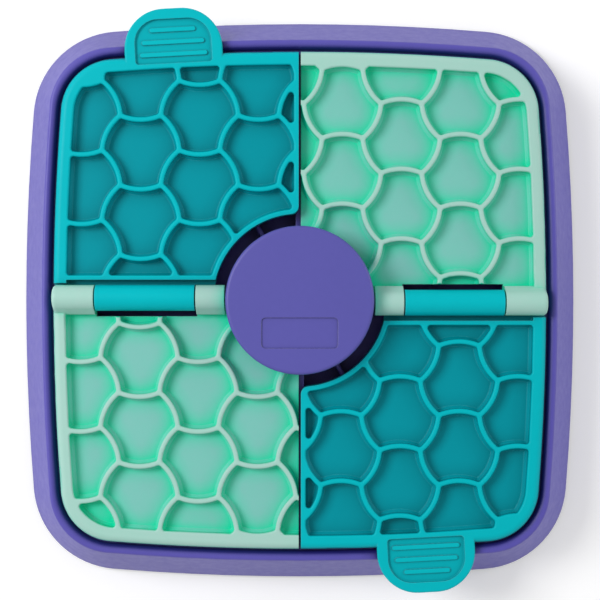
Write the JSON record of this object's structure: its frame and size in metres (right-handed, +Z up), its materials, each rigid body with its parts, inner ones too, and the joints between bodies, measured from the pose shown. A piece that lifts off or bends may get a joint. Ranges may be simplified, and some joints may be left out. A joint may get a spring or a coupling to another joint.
{
  "type": "dog puzzle feeder",
  "caption": "Square treat puzzle for dogs: sloped base with compartments, lick trays, hinged lick-faced flip lids with finger tabs, and a twist-off centre knob.",
  "frame": {"origin": "on the ground under the middle of the object", "axes": "+Z up out of the lick faces, +Y toward the edge that carries the left lid's finger tab, +X toward the right lid's hinge"},
  "size_m": [0.2802, 0.2842, 0.051],
  "materials": {
    "base_plastic": "satin moulded plastic",
    "knob_plastic": "satin moulded plastic",
    "tray_plastic": "satin moulded plastic",
    "lid_plastic": "satin moulded plastic",
    "pin_plastic": "smooth extruded rod",
    "foot_rubber": "fine matt"
  },
  "bodies": {
    "base": {"base_frame": "base_plastic", "base_tub": "base_plastic", "base_cross": "base_plastic", "divider_rear_right": "base_plastic", "divider_rear_left": "base_plastic", "divider_front_left": "base_plastic", "divider_front_right": "base_plastic", "lick_tray_left": "tray_plastic", "lick_tray_right": "tray_plastic", "hinge_pin_left": "pin_plastic", "hinge_pin_right": "pin_plastic", "foot_front_left": "foot_rubber", "foot_front_right": "foot_rubber", "foot_rear_left": "foot_rubber", "foot_rear_right": "foot_rubber"},
    "lid_left": {"flip_lid_left": "lid_plastic"},
    "lid_right": {"flip_lid_right": "lid_plastic"},
    "knob": {"knob_cap": "knob_plastic", "knob_core": "knob_plastic"}
  },
  "joints": [
    {"name": "left_lid_hinge", "type": "hinge", "parent": "base", "child": "lid_left", "pos_m": [-0.0748, 0.0012, 0.0383], "axis": [1, 0, 0], "range_deg": [0, 180]},
    {"name": "right_lid_hinge", "type": "hinge", "parent": "base", "child": "lid_right", "pos_m": [0.0748, -0.0012, 0.0383], "axis": [-1, 0, 0], "range_deg": [0, 180]},
    {"name": "knob_twist", "type": "hinge", "parent": "base", "child": "knob", "pos_m": [0, 0, 0.0383], "axis": [0, 0, 1], "range_deg": [0, 60]}
  ]
}
